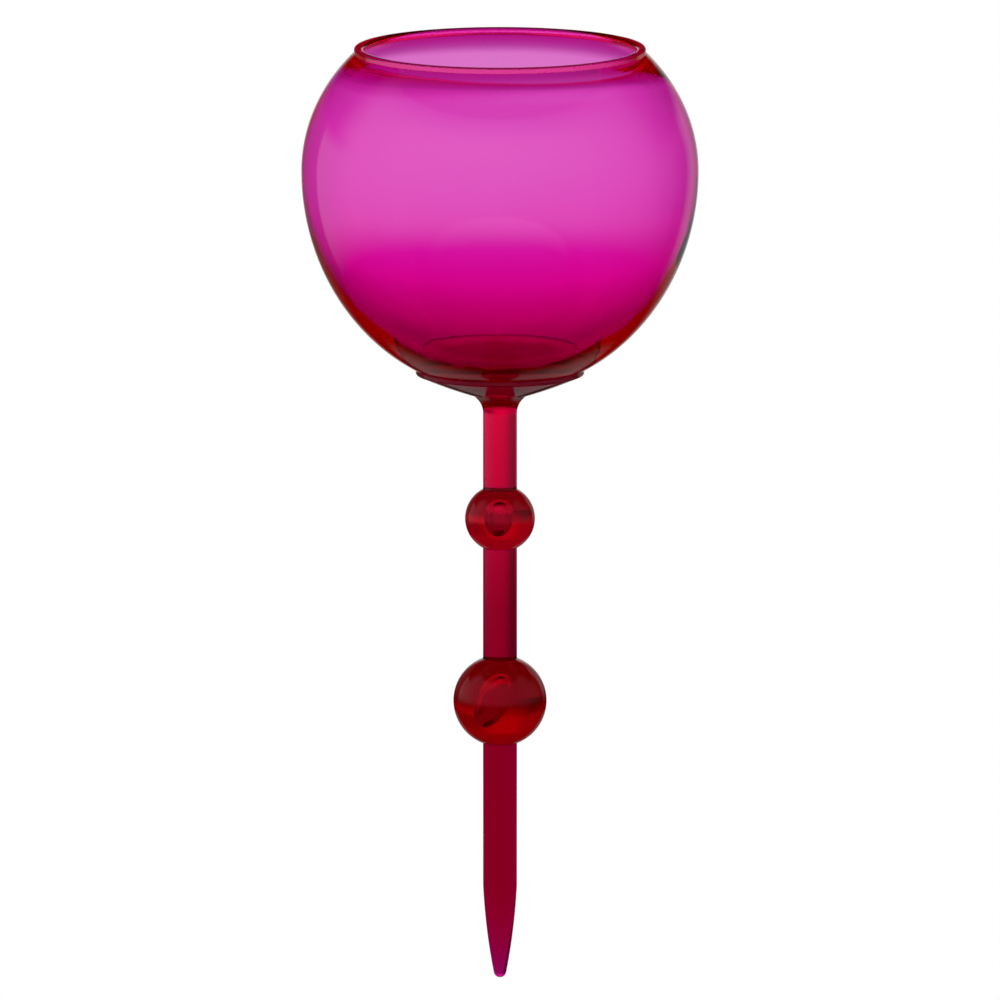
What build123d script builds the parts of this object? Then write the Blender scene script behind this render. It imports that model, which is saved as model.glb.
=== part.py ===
"""Open bowl on a beaded ground stake: six pieces of tinted clear glass and the cement that joins them.

Millimetres. Z is the common axis and points up. Z = 0 is the planting line, where the soil meets the stake.
"""

import os
from math import acos, asin, cos, degrees, radians, sin

from build123d import *

# Bowl
bowl_d = 100.0  # outside, at its widest ring
bowl_drop = 55.75  # from the widest ring down to the underside
bowl_crown = 44.2  # half height of the ellipse that the upper half follows
rim_rise = 31.4  # from the widest ring up to the top of the lip
wall = 0.55  # blown thin at the sides
base_wall = 3.6  # at the middle of the base
lip_w = 2.6  # across the top of the lip
lip_drop = 1.4  # from the top of the lip down to where it meets the bowl's side
lip_edge = 0.45  # round on the lip's outer edge
lip_inner = 1.05  # round on its inner edge
neck_h = 1.6  # from the top of the lip down the straight bore
neck_fade = 7.2  # from the end of that bore down to where the neck has thinned to the wall
neck_run = 5.8  # how far the neck keeps the wall's way at its foot
neck_turn = 0.6  # how far it keeps the bore's way at its head

# Stems, and the dish at the top that the bowl sits in
stem_d = 8.6
dish_d = 42.6
dish_edge = 1.0  # thickness at the dish's edge
dish_root = 2.35  # thickness where the dish meets the stem
dish_swell = 0.2  # how far the underside bulges from a straight cone
dish_fillet = 5.2  # from the dish into the stem
edge_round = 0.3  # on the dish's edge

# Beads, a little wider than they are high
small_bead_d = 17.7
small_bead_h = 17.2
large_bead_d = 23.6
large_bead_h = 23.3

# Point of the stake
taper_len = 24.0
taper_swell = 0.4  # how far the taper bulges from a straight cone
taper_end = 10.0  # degrees from the axis, where the taper meets the rounded tip
tip_r = 1.6

# Heights along the axis
stake_depth = 55.0  # from the planting line down to the tip
large_bead_z = 16.7  # from the planting line up to the large bead's centre
bead_pitch = 46.9  # from bead centre to bead centre
bowl_lift = 33.0  # from the small bead's centre up to the bowl's underside

# Sockets in the beads. Air stays shut in between the two spigots
small_bore_d = 5.0
large_bore_d = 6.4
small_crown_h = 2.3  # rounded upper end of the small bead's pocket
small_point_h = 3.2  # longer lower end of the small bead's pocket
large_crown_h = 3.6  # the same two ends in the large bead
large_point_h = 5.0
pocket_wall_h = 0.8  # straight stretch between a pocket's two ends
cement = 0.1  # film between any two pieces
plug = 0.3  # cement between a spigot's end and the pocket

oval_steps = 8  # spans of a smooth line along an ellipse
point_digits = 9  # decimals kept, so that a line's end on the axis lies exactly on it

# Worked out from the sizes above
bowl_r = bowl_d / 2
stem_r = stem_d / 2
dish_r = dish_d / 2
small_bead_z = large_bead_z + bead_pitch
underside_z = small_bead_z + bowl_lift
waist_z = underside_z + bowl_drop
rim_z = waist_z + rim_rise
tip_z = -stake_depth


def oval(centre, half_w, half_h, start, end):
    """Smooth line along an ellipse about the axis, between two angles in degrees, for the BuildLine around it."""
    angles = [radians(start + (end - start) * step / oval_steps) for step in range(oval_steps + 1)]
    points = [(round(half_w * cos(a), point_digits), centre + half_h * sin(a)) for a in angles]
    way = 1 if end > start else -1
    ends = [Vector(-half_w * sin(a), half_h * cos(a)).normalized() * way for a in (angles[0], angles[-1])]
    return Spline(*points, tangents=ends, tangent_scalars=(1, 1))


class Bead:
    """One bead's size and place, its bore and pocket of air, and the ends of the stems that it holds.

    Heights are counted from the bead's centre, up or down alike. A stem ends in a cup on the bead's surface and a
    spigot in its bore.
    """

    def __init__(self, centre, width, height, bore_d, crown_h, point_h):
        self.centre = centre
        self.half_w = width / 2
        self.half_h = height / 2
        self.bore_r = bore_d / 2
        self.spigot_r = self.bore_r - cement
        self.cup_w = self.half_w + cement
        self.cup_h = self.half_h + cement
        self.bore_angle = degrees(acos(self.bore_r / self.half_w))
        self.stem_angle = degrees(acos(stem_r / self.half_w))
        self.cup_edge = degrees(acos(stem_r / self.cup_w))
        self.cup_root = degrees(acos(self.spigot_r / self.cup_w))
        self.crown_h = crown_h
        self.point_h = point_h
        self.pocket_half = (crown_h + pocket_wall_h + point_h) / 2
        self.spigot_end = self.pocket_half + plug

    def face(self, start, end):
        """Line along the bead's own surface, for the BuildLine around it."""
        return oval(self.centre, self.half_w, self.half_h, start, end)

    def cup(self, up):
        """Line along the cup of the upper (up = 1) or lower (up = -1) stem, from its edge to its spigot."""
        return oval(self.centre, self.cup_w, self.cup_h, up * self.cup_edge, up * self.cup_root)

    def spigot_foot(self, up):
        """Profile points at the end of the upper or lower stem's spigot, from its side to the axis."""
        end = self.centre + up * self.spigot_end
        return [(self.spigot_r, end), (0, end)]


small = Bead(small_bead_z, small_bead_d, small_bead_h, small_bore_d, small_crown_h, small_point_h)
large = Bead(large_bead_z, large_bead_d, large_bead_h, large_bore_d, large_crown_h, large_point_h)


def make_bead(bead):
    """A bead with a bore right through, its surface parted where the stems' cups end."""
    with BuildPart() as solid:
        with BuildSketch(Plane.XZ):
            with BuildLine():
                low = bead.face(-bead.bore_angle, -bead.stem_angle)
                bead.face(-bead.stem_angle, 0)
                bead.face(0, bead.stem_angle)
                high = bead.face(bead.stem_angle, bead.bore_angle)
                Line(high @ 1, low @ 0)
            make_face()
        revolve(axis=Axis.Z)
    return solid


def make_plug(bead, up, end_h):
    """The cement in one socket: under the cup, round the spigot and hollowed where the pocket of air begins."""
    with BuildPart() as solid:
        with BuildSketch(Plane.XZ):
            with BuildLine():
                film = bead.face(up * bead.stem_angle, up * bead.bore_angle)
                cup = bead.cup(up)
                hollow = oval(bead.centre + up * (bead.pocket_half - end_h), bead.bore_r, end_h, 0, 90 * up)
                Line(film @ 0, cup @ 0)
                Line(film @ 1, hollow @ 0)
                Polyline(cup @ 1, *bead.spigot_foot(up), hollow @ 1)
            make_face()
        revolve(axis=Axis.Z)
    return solid


# Bowl, with its wall drawn from the underside up over the lip and down the inside
hollow_r = bowl_r - wall
hollow_drop = bowl_drop - base_wall
hollow_crown = bowl_crown - wall
seat_angle = -degrees(acos(dish_r / bowl_r))
lip_angle = degrees(asin((rim_rise - lip_drop) / bowl_crown))
lip_r = bowl_r * cos(radians(lip_angle))
mouth_r = lip_r - lip_w
lip_outside = (lip_r, rim_z)
lip_inside = (mouth_r, rim_z)
neck_angle = degrees(asin((rim_rise - neck_h - neck_fade) / hollow_crown))
neck_foot = Vector(mouth_r, rim_z - neck_h)

with BuildPart() as bowl:
    with BuildSketch(Plane.XZ) as bowl_profile:
        with BuildLine():
            base = oval(waist_z, bowl_r, bowl_drop, -90, seat_angle)
            oval(waist_z, bowl_r, bowl_drop, seat_angle, 0)
            side = oval(waist_z, bowl_r, bowl_crown, 0, lip_angle)
            Polyline(side @ 1, lip_outside, lip_inside, neck_foot)
            inside = oval(waist_z, hollow_r, hollow_crown, 0, neck_angle)
            neck_pull = neck_foot - Vector(0, neck_turn)
            Bezier(inside @ 1, inside @ 1 + inside % 1 * neck_run, neck_pull, neck_foot)
            floor = oval(waist_z, hollow_r, hollow_drop, -90, 0)
            Line(floor @ 0, base @ 0)
        make_face()
        fillet(bowl_profile.vertices().sort_by_distance(lip_outside)[0], radius=lip_edge)
        fillet(bowl_profile.vertices().sort_by_distance(lip_inside)[0], radius=lip_inner)
    revolve(axis=Axis.Z)

# Upper stem, whose dish follows the bowl's underside one cement film away
dish_seat = (waist_z, bowl_r + cement, bowl_drop + cement, -90, -degrees(acos(dish_r / (bowl_r + cement))))
root_z = underside_z - cement - dish_root

with BuildPart() as upper_stem:
    with BuildSketch(Plane.XZ) as stem_profile:
        with BuildLine():
            seat = oval(*dish_seat)
            dish_low = seat @ 1 - Vector(0, dish_edge)
            Line(seat @ 1, dish_low)
            under = SagittaArc(dish_low, (stem_r, root_z), -dish_swell)
            cup = small.cup(1)
            Line(under @ 1, cup @ 0)
            Polyline(cup @ 1, *small.spigot_foot(1), seat @ 0)
        make_face()
        fillet(stem_profile.vertices().sort_by_distance((stem_r, root_z))[0], radius=dish_fillet)
        fillet(stem_profile.vertices().sort_by_distance(dish_low)[0], radius=edge_round)
    revolve(axis=Axis.Z)

# Cement film between the bowl and the dish
with BuildPart() as bowl_cement:
    with BuildSketch(Plane.XZ):
        with BuildLine():
            film_top = oval(waist_z, bowl_r, bowl_drop, -90, seat_angle)
            film_low = oval(*dish_seat)
            Line(film_top @ 0, film_low @ 0)
            Line(film_top @ 1, film_low @ 1)
        make_face()
    revolve(axis=Axis.Z)

small_bead = make_bead(small)
large_bead = make_bead(large)

# Middle stem, from under the small bead to the top of the large one
with BuildPart() as middle_stem:
    with BuildSketch(Plane.XZ):
        with BuildLine():
            top_cup = small.cup(-1)
            low_cup = large.cup(1)
            Line(top_cup @ 0, low_cup @ 0)
            Polyline(top_cup @ 1, *small.spigot_foot(-1), *reversed(large.spigot_foot(1)), low_cup @ 1)
        make_face()
    revolve(axis=Axis.Z)

# Ground stake, straight below the large bead and then drawn in to a rounded tip
tip_centre = tip_z + tip_r
taper_foot = (tip_r * cos(radians(taper_end)), tip_centre - tip_r * sin(radians(taper_end)))

with BuildPart() as ground_stake:
    with BuildSketch(Plane.XZ):
        with BuildLine():
            tip = CenterArc((0, tip_centre), tip_r, -90, 90 - taper_end)
            SagittaArc(taper_foot, (stem_r, tip_z + taper_len), -taper_swell)
            cup = large.cup(-1)
            Line((stem_r, tip_z + taper_len), cup @ 0)
            Polyline(cup @ 1, *large.spigot_foot(-1), tip @ 0)
        make_face()
    revolve(axis=Axis.Z)

# Cement in the four bead sockets, one group of separate plugs
with BuildPart() as socket_cement:
    add(make_plug(small, 1, small_crown_h).part)
    add(make_plug(small, -1, small_point_h).part)
    add(make_plug(large, 1, large_crown_h).part)
    add(make_plug(large, -1, large_point_h).part)

os.makedirs("parts", exist_ok=True)
pieces = {
    "bowl": bowl,
    "bowl_cement": bowl_cement,
    "upper_stem": upper_stem,
    "small_bead": small_bead,
    "middle_stem": middle_stem,
    "large_bead": large_bead,
    "ground_stake": ground_stake,
    "socket_cement": socket_cement,
}
for name, piece in pieces.items():
    piece.part.label = name
    export_step(piece.part, f"parts/{name}.step")
    box = piece.part.bounding_box()
    print(f"{name}: {len(piece.part.solids())} solid, {piece.part.volume / 1000:.2f} cm3, "
          f"z {box.min.Z:.2f} to {box.max.Z:.2f}, width {box.size.X:.2f}")
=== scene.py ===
"""Open bowl of tinted glass on a beaded ground stake, dressed for the photograph's view.

A profile's points are (distance from the axis, height) in millimetres. Blender's own lengths are metres.
"""

from math import acos, asin, cos, degrees, pi, radians, sin

import bpy
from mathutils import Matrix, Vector


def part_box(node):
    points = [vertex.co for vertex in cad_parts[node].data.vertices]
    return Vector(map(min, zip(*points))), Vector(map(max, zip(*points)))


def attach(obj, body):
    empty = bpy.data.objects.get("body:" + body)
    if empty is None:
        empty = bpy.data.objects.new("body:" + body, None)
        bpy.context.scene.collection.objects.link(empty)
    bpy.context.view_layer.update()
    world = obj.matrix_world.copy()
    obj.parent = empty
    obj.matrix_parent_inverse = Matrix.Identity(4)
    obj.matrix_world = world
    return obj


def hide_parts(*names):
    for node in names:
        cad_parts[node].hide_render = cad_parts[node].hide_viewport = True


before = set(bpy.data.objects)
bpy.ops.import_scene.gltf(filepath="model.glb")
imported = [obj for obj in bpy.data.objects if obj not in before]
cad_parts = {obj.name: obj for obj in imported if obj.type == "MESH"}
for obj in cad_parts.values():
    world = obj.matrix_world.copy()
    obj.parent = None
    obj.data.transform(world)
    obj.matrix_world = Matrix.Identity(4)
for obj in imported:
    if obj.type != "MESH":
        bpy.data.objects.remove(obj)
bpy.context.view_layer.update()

MM = 0.001
TINY = 1e-6  # millimetres, taken as nothing

# Bowl, in the part's own sizes
BOWL_R = 50.0
BOWL_DROP = 55.75  # from the widest ring down to the underside
BOWL_CROWN = 44.2  # half height of the ellipse that the upper half follows
RIM_RISE = 31.4  # from the widest ring up to the top of the lip
WALL = 0.55
BASE_WALL = 3.6
LIP_W = 2.6  # across the top of the lip
LIP_DROP = 1.4  # from the top of the lip down to where it meets the bowl's side
LIP_EDGE = 0.45  # round of the lip's outer edge
LIP_INNER = 1.05  # round of its inner edge
NECK_H = 1.6  # from the top of the lip down the straight bore
NECK_FADE = 7.2  # from the end of that bore down to where the neck has thinned to the wall
NECK_RUN = 5.8  # how far the neck keeps the wall's way at its foot
NECK_TURN = 0.6  # and the bore's way at its head
NECK_SWELL = 0.2  # how uneven the neck is, round about
NECK_WAVES = ((2, 0.6, 1.0), (3, 2.0, 0.6))  # its waves: how many round about, where they start, their share

# Stems and dish
STEM_R = 4.3
DISH_R = 21.3
DISH_EDGE = 1.0  # height of the dish's upright edge
DISH_ROOT = 2.45  # from the bowl's underside down to where the dish's cone would meet the stem
DISH_SWELL = 0.2  # how far that cone bulges
DISH_FILLET = 5.2
EDGE_ROUND = 0.3

# Beads, as half width and half height, and their pockets of air
SMALL_BEAD = (8.85, 8.6)
LARGE_BEAD = (11.8, 11.65)
SMALL_POCKET = {"r": 2.5, "crown": 2.3, "point": 3.2, "straight": 0.8, "lean": 0.05, "shift": -0.2}
LARGE_POCKET = {"r": 3.1, "crown": 3.6, "point": 5.0, "straight": 0.8, "lean": 0.3, "shift": -1.2}

# Point of the stake
TAPER_LEN = 24.0
TAPER_SWELL = 0.4
TAPER_END = 10.0  # degrees from the axis
TIP_R = 1.6

CEMENT = 0.1  # film between the bowl and the dish
BOND_GAP = 0.02  # between two bonded faces
SHARP = 35.0  # degrees between faces that meet in an edge

# Glass: how strongly each millimetre absorbs red, green and blue, and the tint of what its surface mirrors
BOWL_TINT = (0.004, 2.25, 0.315)
STEM_TINT = (0.014, 1.60, 0.35)
BEAD_TINT = (0.030, 1.60, 0.30)
CLEAR_SHEEN = (1, 1, 1)
RUBY_SHEEN = (1, 0.08, 0.2)
GLASS_IOR = 1.49
BONDED_IOR = 1.0  # of a face that is bonded to another, where light goes straight on

# Marks in the glass, in millimetres
SCUFF_SIZE = 1.6
SCUFF_STRETCH = (1, 1, 0.5)
SCUFF_LEVELS = (0.66, 0.74)  # of the noise, between which a scuff sets in
SCUFF_ROUGH = 0.12
RIPPLE_SIZE = 18.0
RIPPLE_STRETCH = (1, 1, 0.6)
RIPPLE_DEPTH = 0.12

# Cement, deeper in tint towards the axis, with blotches
CEMENT_MIDDLE = (0.70, 0.03, 0.24)
CEMENT_EDGE = (1.0, 0.3, 0.8)
CEMENT_IOR = 1.25
CEMENT_ROUGH = 0.3
BLOTCH_ROUGH = 0.4  # what a blotch adds to the roughness
BLOTCH_SIZE = 5.0
BLOTCH_REACH = 8.0  # how far a blotch draws in the deeper tint's edge
MIDDLE_EDGE = (23.5, 19.5)  # distances between which that tint sets in, before the blotches draw it in


def top_of(node):
    """Height of a CAD node's top, in millimetres."""
    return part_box(node)[1].z / MM


def foot_of(node):
    """Height of a CAD node's foot, in millimetres."""
    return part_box(node)[0].z / MM


def middle_of(node):
    """Height of a CAD node's middle, in millimetres."""
    return (top_of(node) + foot_of(node)) / 2


tip_z = foot_of("ground_stake")
rim_z = top_of("bowl")
underside_z = foot_of("bowl")
small_bead_z = middle_of("small_bead")
large_bead_z = middle_of("large_bead")
waist_z = underside_z + BOWL_DROP


# Profile lines
def oval(centre, half_w, half_h, start, end, steps=48):
    """Points along an ellipse about the axis, between two angles in degrees."""
    angles = [radians(start + (end - start) * k / steps) for k in range(steps + 1)]
    return [(max(half_w * cos(a), 0.0), centre + half_h * sin(a)) for a in angles]


def line(a, b, steps=4):
    """Points along a straight run from a to b."""
    return [tuple(Vector(a).lerp(Vector(b), k / steps)) for k in range(steps + 1)]


def bezier(a, pull_a, pull_b, b, steps=32):
    """Points along the curve from a to b that its two pulls shape."""
    points = []
    for k in range(steps + 1):
        t = k / steps
        s = 1 - t
        weights = (s ** 3, 3 * s * s * t, 3 * s * t * t, t ** 3)
        mixed = sum((Vector(p) * w for p, w in zip((a, pull_a, pull_b, b), weights)), Vector((0, 0)))
        points.append(tuple(mixed))
    return points


def arc_through(a, b, c, steps):
    """Points along the circle through a, b and c, from a to c."""
    (ax, ay), (bx, by), (cx, cy) = a, b, c
    d = 2 * (ax * (by - cy) + bx * (cy - ay) + cx * (ay - by))
    sa, sb, sc = ax * ax + ay * ay, bx * bx + by * by, cx * cx + cy * cy
    centre = Vector(((sa * (by - cy) + sb * (cy - ay) + sc * (ay - by)) / d,
                     (sa * (cx - bx) + sb * (ax - cx) + sc * (bx - ax)) / d))
    start = Vector(a) - centre
    to_b = start.angle_signed(Vector(b) - centre)
    to_c = start.angle_signed(Vector(c) - centre)
    if to_b * to_c < 0 or abs(to_b) > abs(to_c):
        to_c -= 2 * pi * (1 if to_c > 0 else -1)
    points = []
    for k in range(steps + 1):
        t = -to_c * k / steps
        turned = Vector((start.x * cos(t) - start.y * sin(t), start.x * sin(t) + start.y * cos(t)))
        points.append(tuple(centre + turned))
    return points


def swollen(a, b, swell, steps):
    """Points along the shallow arc from a to b that bulges by swell to the right of that way."""
    chord = Vector(b) - Vector(a)
    middle = (Vector(a) + Vector(b)) / 2 + Vector((chord.y, -chord.x)).normalized() * swell
    return arc_through(a, tuple(middle), b, steps)


def rounded(a, corner, b, radius, steps=10):
    """Points along the arc of one radius that rounds the corner between the ways to a and to b."""
    to_a = (Vector(a) - Vector(corner)).normalized()
    to_b = (Vector(b) - Vector(corner)).normalized()
    half = to_a.angle(to_b) / 2
    reach = radius * cos(half) / sin(half)
    first = Vector(corner) + to_a * reach
    middle = Vector(corner) + (to_a + to_b).normalized() * (radius / sin(half) - radius)
    last = Vector(corner) + to_b * reach
    return arc_through(tuple(first), tuple(middle), tuple(last), steps)


def back(points):
    """The same points the other way round."""
    return list(reversed(points))


def still(r, z, angle):
    """A ring's point with no unevenness."""
    return Vector((r * cos(angle), r * sin(angle), z))


def lathe(name, shells, around):
    """A mesh turned about Z from shells, each a list of (points, bonded, warp) runs from axis to axis."""
    verts, faces, bonded = [], [], []
    for runs in shells:
        profile, flags = [], []
        for points, flag, warp in runs:
            for p in points:
                if profile and (Vector(p) - Vector(profile[-1][0])).length < TINY:
                    continue
                if profile:
                    flags.append(flag)
                profile.append((p, warp))
        rings = []
        for (r, z), warp in profile:
            first = len(verts)
            count = 1 if r < TINY else around
            verts.extend(warp(r, z, 2 * pi * k / around) * MM for k in range(count))
            rings.append([first + k % count for k in range(around)])
        for low, high, flag in zip(rings, rings[1:], flags):
            for k in range(around):
                n = (k + 1) % around
                faces.append(tuple(dict.fromkeys((low[k], low[n], high[n], high[k]))))
                bonded.append(float(flag))
    mesh = bpy.data.meshes.new(name)
    mesh.from_pydata(verts, [], faces)
    mesh.attributes.new("bonded", "FLOAT", "FACE").data.foreach_set("value", bonded)
    mesh.shade_smooth()
    mesh.set_sharp_from_angle(angle=radians(SHARP))
    piece = bpy.data.objects.new(name, mesh)
    bpy.context.scene.collection.objects.link(piece)
    return piece


# Bowl
hollow_r = BOWL_R - WALL
hollow_crown = BOWL_CROWN - WALL
seat_angle = -degrees(acos(DISH_R / BOWL_R))
lip_angle = degrees(asin((RIM_RISE - LIP_DROP) / BOWL_CROWN))
lip_r = BOWL_R * cos(radians(lip_angle))
mouth_r = lip_r - LIP_W
neck_angle = degrees(asin((RIM_RISE - NECK_H - NECK_FADE) / hollow_crown))
neck_foot = (mouth_r, rim_z - NECK_H)


def uneven(r, z, angle):
    """A point inside the neck, where the blown wall is a little thicker on some sides than on others."""
    share = (rim_z - NECK_H - z) / NECK_FADE
    swell = sum(part * sin(count * angle + start) for count, start, part in NECK_WAVES)
    return still(r - NECK_SWELL * sin(pi * share) * swell, z, angle)


def bowl_shell():
    """The bowl, from its underside up over the lip and down the inside."""
    side = oval(waist_z, BOWL_R, BOWL_CROWN, 0, lip_angle, steps=64)
    lip_edge = rounded(side[-1], (lip_r, rim_z), (mouth_r, rim_z), LIP_EDGE)
    lip_inner = rounded((lip_r, rim_z), (mouth_r, rim_z), neck_foot, LIP_INNER)
    inside = oval(waist_z, hollow_r, hollow_crown, 0, neck_angle)
    way = (Vector(inside[-1]) - Vector(inside[-2])).normalized()
    neck_pull = Vector(neck_foot) - Vector((0, NECK_TURN))
    neck = bezier(inside[-1], Vector(inside[-1]) + way * NECK_RUN, neck_pull, neck_foot)
    hollow = oval(waist_z, hollow_r, BOWL_DROP - BASE_WALL, 0, -90, steps=128)
    return lathe("bowl_shell", [[
        (oval(waist_z, BOWL_R, BOWL_DROP, -90, seat_angle), True, still),
        (oval(waist_z, BOWL_R, BOWL_DROP, seat_angle, 0, steps=64), False, still),
        (side, False, still),
        (lip_edge, False, still),
        (lip_inner, False, still),
        (line(lip_inner[-1], neck_foot), False, still),
        (back(neck), False, uneven),
        (back(inside), False, still),
        (hollow, False, still),
    ]], around=256)


# Stems, beads and the film of cement
def cup(bead, centre, up):
    """Profile of a stem's end on the bead below it (up = 1) or above it (up = -1), from edge to axis."""
    half_w, half_h = bead[0] + BOND_GAP, bead[1] + BOND_GAP
    edge = degrees(acos(STEM_R / half_w))
    return oval(centre, half_w, half_h, up * edge, up * 90, steps=12)


def under_bowl(gap):
    """Profile of the bowl's underside moved out by a gap, from the axis to the dish's edge."""
    half_w, half_h = BOWL_R + gap, BOWL_DROP + gap
    return oval(waist_z, half_w, half_h, -90, -degrees(acos(DISH_R / half_w)))


def stem_and_dish():
    """The upper stem, from the small bead up to the dish that the bowl is bonded into."""
    seat = under_bowl(CEMENT)
    edge = seat[-1]
    low = (DISH_R, edge[1] - DISH_EDGE)
    root = (STEM_R, underside_z - DISH_ROOT)
    foot = cup(SMALL_BEAD, small_bead_z, 1)
    fillet = rounded(foot[0], root, low, DISH_FILLET, steps=24)
    edge_turn = rounded(fillet[-1], low, edge, EDGE_ROUND)
    return lathe("upper_stem_and_dish", [[
        (back(foot), True, still),
        (line(foot[0], fillet[0], steps=32), False, still),
        (fillet, False, still),
        (swollen(fillet[-1], edge_turn[0], DISH_SWELL, steps=48), False, still),
        (edge_turn, False, still),
        (line(edge_turn[-1], edge), False, still),
        (back(seat), True, still),
    ]], around=192)


def cement_film():
    """The film of cement between the bowl and the dish."""
    top = under_bowl(BOND_GAP)
    low = under_bowl(CEMENT - BOND_GAP)
    return lathe("cement_film", [[(low, False, still), (back(top), False, still)]], around=128)


def bead_with_pocket(name, bead, centre, pocket):
    """A bead with bonded caps under its stems and a pocket of air inside that leans a little."""
    half_w, half_h = bead
    edge = degrees(acos(STEM_R / half_w))
    half = (pocket["crown"] + pocket["point"] + pocket["straight"]) / 2
    top_ring = centre + half - pocket["crown"]
    low_ring = centre - half + pocket["point"]
    r = pocket["r"]

    def leaning(ring_r, z, angle):
        """A pocket's point, moved sideways by its shift and in step with its height."""
        return still(ring_r, z, angle) + Vector((pocket["shift"] + pocket["lean"] * (z - centre), 0, 0))

    return lathe(name, [
        [
            (oval(centre, half_w, half_h, -90, -edge, steps=12), True, still),
            (oval(centre, half_w, half_h, -edge, edge, steps=64), False, still),
            (oval(centre, half_w, half_h, edge, 90, steps=12), True, still),
        ],
        [
            (oval(top_ring, r, pocket["crown"], 90, 0, steps=24), False, leaning),
            (line((r, top_ring), (r, low_ring)), False, leaning),
            (oval(low_ring, r, pocket["point"], 0, -90, steps=24), False, leaning),
        ],
    ], around=128)


def middle_rod():
    """The straight stem between the beads."""
    top = cup(SMALL_BEAD, small_bead_z, -1)
    low = cup(LARGE_BEAD, large_bead_z, 1)
    return lathe("middle_stem_rod", [[
        (back(low), True, still),
        (line(low[0], top[0], steps=32), False, still),
        (top, True, still),
    ]], around=96)


def stake():
    """The stake's shaft, its taper and its rounded tip."""
    top = cup(LARGE_BEAD, large_bead_z, -1)
    centre = tip_z + TIP_R
    taper_foot = (TIP_R * cos(radians(TAPER_END)), centre - TIP_R * sin(radians(TAPER_END)))
    taper_head = (STEM_R, tip_z + TAPER_LEN)
    return lathe("stake_with_point", [[
        (oval(centre, TIP_R, TIP_R, -90, -TAPER_END, steps=16), False, still),
        (swollen(taper_foot, taper_head, TAPER_SWELL, steps=32), False, still),
        (line(taper_head, top[0], steps=32), False, still),
        (top, True, still),
    ]], around=96)


# Node helpers
def feed(tree, socket, value):
    """Set a socket to a number, or link another node's output to it."""
    if isinstance(value, (int, float)):
        socket.default_value = value
    else:
        tree.links.new(value, socket)


def math_node(tree, operation, *values):
    """A Math node whose inputs are numbers or other nodes' outputs; returns its output."""
    node = tree.nodes.new("ShaderNodeMath")
    node.operation = operation
    for socket, value in zip(node.inputs, values):
        feed(tree, socket, value)
    return node.outputs["Value"]


def smooth_step(tree, value, start, end):
    """0 before start, 1 past end and smooth in between; start may be the larger one."""
    node = tree.nodes.new("ShaderNodeMapRange")
    node.interpolation_type = "SMOOTHSTEP"
    tree.links.new(value, node.inputs["Value"])
    node.inputs["From Min"].default_value = start
    node.inputs["From Max"].default_value = end
    return node.outputs["Result"]


def blend(tree, share, a, b):
    """A value that goes from a to b with share; a and b are numbers or other nodes' outputs."""
    mix = tree.nodes.new("ShaderNodeMix")
    tree.links.new(share, mix.inputs["Factor"])
    feed(tree, mix.inputs["A"], a)
    feed(tree, mix.inputs["B"], b)
    return mix.outputs["Result"]


def ramp(tree, value, stops):
    """Brightness along a value, from (value, brightness) stops."""
    low, high = stops[0][0], stops[-1][0]
    span = tree.nodes.new("ShaderNodeMapRange")
    tree.links.new(value, span.inputs["Value"])
    span.inputs["From Min"].default_value = low
    span.inputs["From Max"].default_value = high
    node = tree.nodes.new("ShaderNodeValToRGB")
    elements = node.color_ramp.elements
    elements.remove(elements[-1])
    for index, (place, level) in enumerate(stops):
        share = (place - low) / (high - low)
        element = elements[0] if index == 0 else elements.new(share)
        element.position = share
        element.color = (level, level, level, 1)
    tree.links.new(span.outputs["Result"], node.inputs["Fac"])
    return node.outputs["Color"]


def in_part(tree, scale):
    """The shaded point in the part's own frame, with its axes scaled."""
    place = tree.nodes.new("ShaderNodeTexCoord")
    spread = tree.nodes.new("ShaderNodeMapping")
    spread.inputs["Scale"].default_value = scale
    tree.links.new(place.outputs["Object"], spread.inputs["Vector"])
    return spread.outputs["Vector"]


def grain(tree, size, stretch=(1, 1, 1)):
    """Smooth noise in the part's own frame, with marks of about that size in millimetres."""
    noise = tree.nodes.new("ShaderNodeTexNoise")
    noise.inputs["Scale"].default_value = 1 / (size * MM)
    tree.links.new(in_part(tree, stretch), noise.inputs["Vector"])
    return noise.outputs["Fac"]


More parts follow.
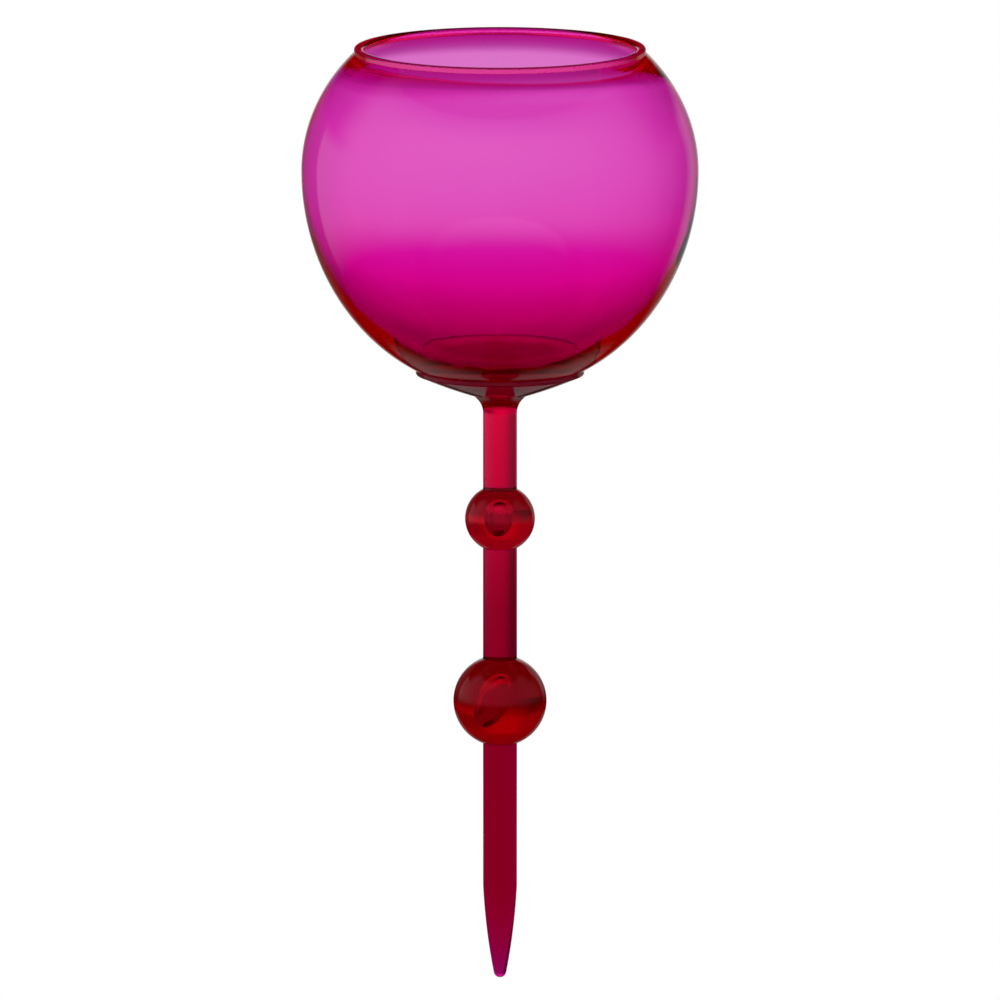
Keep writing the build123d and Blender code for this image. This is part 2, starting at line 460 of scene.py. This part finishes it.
# Materials
def glass(name, absorb, sheen):
    """Clear glass of one tint, with a few scuffs and a slight ripple wherever it isn't bonded."""
    mat = bpy.data.materials.new(name)
    mat.use_nodes = True
    tree = mat.node_tree
    nodes, links = tree.nodes, tree.links
    shader = nodes["Principled BSDF"]
    shader.inputs["Base Color"].default_value = (1, 1, 1, 1)
    shader.inputs["Transmission Weight"].default_value = 1.0
    shader.inputs["Specular Tint"].default_value = (*sheen, 1)
    attr = nodes.new("ShaderNodeAttribute")
    attr.attribute_name = "bonded"
    free = math_node(tree, "SUBTRACT", 1.0, attr.outputs["Fac"])

    scuff = smooth_step(tree, grain(tree, SCUFF_SIZE, SCUFF_STRETCH), *SCUFF_LEVELS)
    rough = math_node(tree, "MULTIPLY", scuff, SCUFF_ROUGH)
    links.new(math_node(tree, "MULTIPLY", rough, free), shader.inputs["Roughness"])
    ripple = nodes.new("ShaderNodeBump")
    ripple.inputs["Distance"].default_value = RIPPLE_DEPTH * MM
    links.new(free, ripple.inputs["Strength"])
    links.new(grain(tree, RIPPLE_SIZE, RIPPLE_STRETCH), ripple.inputs["Height"])
    links.new(ripple.outputs["Normal"], shader.inputs["Normal"])

    ior = nodes.new("ShaderNodeMapRange")
    ior.inputs["To Min"].default_value = GLASS_IOR
    ior.inputs["To Max"].default_value = BONDED_IOR
    links.new(attr.outputs["Fac"], ior.inputs["Value"])
    shader.inputs["IOR"].default_value = GLASS_IOR
    links.new(ior.outputs["Result"], shader.inputs["IOR"])

    tint = nodes.new("ShaderNodeVolumeAbsorption")
    most = max(absorb)
    tint.inputs["Color"].default_value = (*[1 - a / most for a in absorb], 1)
    tint.inputs["Density"].default_value = most / MM
    links.new(tint.outputs["Volume"], nodes["Material Output"].inputs["Volume"])
    return mat


def cloudy_cement():
    """Tinted cement, cloudy and blotchy."""
    mat = bpy.data.materials.new("cement")
    mat.use_nodes = True
    tree = mat.node_tree
    shader = tree.nodes["Principled BSDF"]
    shader.inputs["IOR"].default_value = CEMENT_IOR
    shader.inputs["Transmission Weight"].default_value = 1.0
    off_axis = tree.nodes.new("ShaderNodeVectorMath")
    off_axis.operation = "LENGTH"
    tree.links.new(in_part(tree, (1 / MM, 1 / MM, 0)), off_axis.inputs["Vector"])
    blotch = grain(tree, BLOTCH_SIZE)
    wavy = math_node(tree, "MULTIPLY_ADD", blotch, BLOTCH_REACH, off_axis.outputs["Value"])
    tone = tree.nodes.new("ShaderNodeMix")
    tone.data_type = "RGBA"
    tone.inputs["A"].default_value = (*CEMENT_EDGE, 1)
    tone.inputs["B"].default_value = (*CEMENT_MIDDLE, 1)
    tree.links.new(smooth_step(tree, wavy, *MIDDLE_EDGE), tone.inputs["Factor"])
    tree.links.new(tone.outputs["Result"], shader.inputs["Base Color"])
    rough = math_node(tree, "MULTIPLY_ADD", blotch, BLOTCH_ROUGH, CEMENT_ROUGH)
    tree.links.new(rough, shader.inputs["Roughness"])
    return mat


bowl_tint = glass("bowl_glass", BOWL_TINT, CLEAR_SHEEN)
stem_tint = glass("stem_glass", STEM_TINT, RUBY_SHEEN)
bead_tint = glass("bead_glass", BEAD_TINT, RUBY_SHEEN)
dress = [
    (bowl_shell(), bowl_tint, "bowl_glass", ("bowl",)),
    (stem_and_dish(), stem_tint, "stem_glass", ("upper_stem",)),
    (cement_film(), cloudy_cement(), "cement", ("bowl_cement",)),
    (
        bead_with_pocket("small_bead_solid", SMALL_BEAD, small_bead_z, SMALL_POCKET),
        bead_tint, "stem_glass", ("small_bead", "socket_cement"),
    ),
    (middle_rod(), stem_tint, "stem_glass", ("middle_stem",)),
    (
        bead_with_pocket("large_bead_solid", LARGE_BEAD, large_bead_z, LARGE_POCKET),
        bead_tint, "stem_glass", ("large_bead",),
    ),
    (stake(), stem_tint, "stem_glass", ("ground_stake",)),
]
for piece, tint, slot, nodes in dress:
    piece.data.materials.append(tint)
    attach(piece, "root")
    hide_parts(*nodes)


# Stage: a floor that is white to the camera, inside a round light tent that the camera doesn't see
TENT_R = 0.35  # metres, as are the next two
TENT_H = 0.60
FLOOR_SIZE = 12.0
TENT_SIDES = 96
ROOM_LIGHT = 0.1  # of the room above the tent
WHITE = 1.0  # what the camera itself sees of the floor and the room

# Light that shows through the part: the floor's, and the tent's by millimetres above the floor
FLOOR_THROUGH = 0.28
TENT_RISE = [
    (0, 0.28), (30, 0.30), (48, 0.42), (66, 0.55), (82, 0.64), (95, 0.75),
    (200, 0.76), (240, 0.5), (600, 0.42),
]
# The share of that light low on the tent and higher up, by degrees to the right of straight behind
TENT_LOW = [
    (-180, 0.7), (-60, 0.6), (-40, 0.4), (-30, 0.42), (-19, 0.7), (-9, 0.95),
    (0, 1.0), (19, 1.05), (40, 0.9), (180, 0.8),
]
TENT_HIGH = [
    (-180, 0.75), (-80, 0.75), (-60, 0.5), (-48, 0.7), (-24, 0.7), (-13, 1.0),
    (5, 1.0), (12, 0.85), (24, 0.5), (60, 0.5), (80, 0.75), (180, 0.75),
]
LOW_TO_HIGH = (80, 115)  # heights between which the one share goes over into the other
HIGH_TO_TOP = (200, 240)  # and into even light above

# Light that the surfaces mirror: a round pool on the floor behind the object, and the tent's by degrees
POOL_BACK = 190.0  # from the axis back to the pool's middle
POOL_EDGE = (145, 85)  # distances from that middle between which the pool sets in
POOL_LIGHT = 0.18
MIRRORED = [
    (-180, 1.2), (-120, 1.3), (-90, 1.0), (-72, 0.65), (-55, 0.48), (-53, 0.06), (-22, 0.08),
    (-14, 0.5), (-8, 1.0), (8, 1.0), (15, 0.6), (23, 0.27), (28, 0.22), (39, 0.36), (46, 0.25),
    (50, 0.05), (60, 0.05), (77, 0.25), (99, 0.67), (130, 1.0), (180, 1.2),
]
MIRROR_FOOT = (0, 110)  # heights between which that light fades in from the floor up
MIRROR_TOP = (290, 240)  # and from above down, behind the object
FRONT_TOP = (700, 380)  # and from above down, in front of it
BEHIND_TO_FRONT = (60, 90)  # degrees to either side where the one goes over into the other


def glowing(name):
    """A material with an emission shader alone; returns it, its tree and the shader."""
    mat = bpy.data.materials.new(name)
    mat.use_nodes = True
    tree = mat.node_tree
    tree.nodes.clear()
    glow = tree.nodes.new("ShaderNodeEmission")
    out = tree.nodes.new("ShaderNodeOutputMaterial")
    tree.links.new(glow.outputs["Emission"], out.inputs["Surface"])
    return mat, tree, glow


def stage_place(tree):
    """Outputs X, Y and Z of a node that gives the shaded point in metres."""
    place = tree.nodes.new("ShaderNodeNewGeometry")
    axes = tree.nodes.new("ShaderNodeSeparateXYZ")
    tree.links.new(place.outputs["Position"], axes.inputs["Vector"])
    return axes.outputs


def floor_paint():
    """The floor: even light to what shows through the part, and a pool of light to what it mirrors."""
    mat, tree, glow = glowing("floor_paint")
    place = stage_place(tree)
    aside = math_node(tree, "MULTIPLY", place["X"], 1 / MM)
    further = math_node(tree, "MULTIPLY_ADD", place["Y"], 1 / MM, -POOL_BACK)
    squares = math_node(tree, "MULTIPLY_ADD", aside, aside, math_node(tree, "MULTIPLY", further, further))
    pool = smooth_step(tree, math_node(tree, "SQRT", squares), *POOL_EDGE)
    mirrored = math_node(tree, "MULTIPLY", pool, POOL_LIGHT)
    path = tree.nodes.new("ShaderNodeLightPath")
    light = blend(tree, path.outputs["Is Transmission Ray"], mirrored, FLOOR_THROUGH)
    tree.links.new(blend(tree, path.outputs["Is Camera Ray"], light, WHITE), glow.inputs["Strength"])
    return mat


def tent_cloth():
    """The tent's wall, with one light for what shows through the part and one for what it mirrors."""
    mat, tree, glow = glowing("tent_cloth")
    place = stage_place(tree)
    turn = math_node(tree, "ARCTAN2", place["X"], place["Y"])
    side = math_node(tree, "MULTIPLY", turn, degrees(1))
    rise = math_node(tree, "MULTIPLY_ADD", place["Z"], 1 / MM, -tip_z)

    low, high = ramp(tree, side, TENT_LOW), ramp(tree, side, TENT_HIGH)
    share = blend(tree, smooth_step(tree, rise, *LOW_TO_HIGH), low, high)
    share = blend(tree, smooth_step(tree, rise, *HIGH_TO_TOP), share, 1.0)
    through = math_node(tree, "MULTIPLY", ramp(tree, rise, TENT_RISE), share)

    in_front = smooth_step(tree, math_node(tree, "ABSOLUTE", side), *BEHIND_TO_FRONT)
    back_top, front_top = smooth_step(tree, rise, *MIRROR_TOP), smooth_step(tree, rise, *FRONT_TOP)
    top = blend(tree, in_front, back_top, front_top)
    fade = math_node(tree, "MULTIPLY", top, smooth_step(tree, rise, *MIRROR_FOOT))
    mirrored = math_node(tree, "MULTIPLY", ramp(tree, side, MIRRORED), fade)

    path = tree.nodes.new("ShaderNodeLightPath")
    light = blend(tree, path.outputs["Is Transmission Ray"], mirrored, through)
    tree.links.new(light, glow.inputs["Strength"])
    return mat


def tent_wall():
    """The round wall around the object."""
    n = TENT_SIDES
    ring = [(TENT_R * cos(2 * pi * k / n), TENT_R * sin(2 * pi * k / n)) for k in range(n)]
    verts = [(x, y, tip_z * MM + h) for h in (0, TENT_H) for x, y in ring]
    faces = [(k, (k + 1) % n, n + (k + 1) % n, n + k) for k in range(n)]
    mesh = bpy.data.meshes.new("tent_wall")
    mesh.from_pydata(verts, [], faces)
    mesh.materials.append(tent_cloth())
    wall = bpy.data.objects.new("tent_wall", mesh)
    bpy.context.scene.collection.objects.link(wall)
    wall.visible_camera = False


def studio():
    """The room above the tent, dim to everything but the camera."""
    world = bpy.data.worlds.new("studio")
    world.use_nodes = True
    tree = world.node_tree
    path = tree.nodes.new("ShaderNodeLightPath")
    light = blend(tree, path.outputs["Is Camera Ray"], ROOM_LIGHT, WHITE)
    background = tree.nodes["Background"]
    background.inputs["Color"].default_value = (1, 1, 1, 1)
    tree.links.new(light, background.inputs["Strength"])
    return world


bpy.ops.mesh.primitive_plane_add(size=FLOOR_SIZE, location=(0, 0, tip_z * MM))
floor = bpy.context.object
floor.name = "floor"
floor.data.materials.append(floor_paint())
tent_wall()
scene = bpy.context.scene
scene.world = studio()

# Camera, with its lengths in millimetres
PITCH = 10.16  # degrees down
DISTANCE = 3400.0
VIEW_WIDTH = 252.7  # across the picture at the axis
AIM_RISE = 123.25  # from the tip up to the point in the middle of the picture
VIEW_END = 50000.0  # how far the camera sees
SENSOR = 36.0
camera_data = bpy.data.cameras.new("camera")
camera_data.sensor_width = SENSOR
camera_data.lens = SENSOR * DISTANCE / VIEW_WIDTH
camera_data.clip_end = VIEW_END * MM
camera = bpy.data.objects.new("camera", camera_data)
scene.collection.objects.link(camera)
away = Vector((0, -cos(radians(PITCH)), sin(radians(PITCH))))
camera.location = Vector((0, 0, (tip_z + AIM_RISE) * MM)) + away * DISTANCE * MM
camera.rotation_mode = "QUATERNION"
camera.rotation_quaternion = (-away).to_track_quat("-Z", "Y")
scene.camera = camera

# Light bounces many times inside the thin walls before it leaves them
BOUNCES = 128
CLEAR_BOUNCES = 32
scene.view_settings.view_transform = "Standard"
scene.cycles.max_bounces = BOUNCES
scene.cycles.transmission_bounces = BOUNCES
scene.cycles.glossy_bounces = BOUNCES
scene.cycles.transparent_max_bounces = CLEAR_BOUNCES
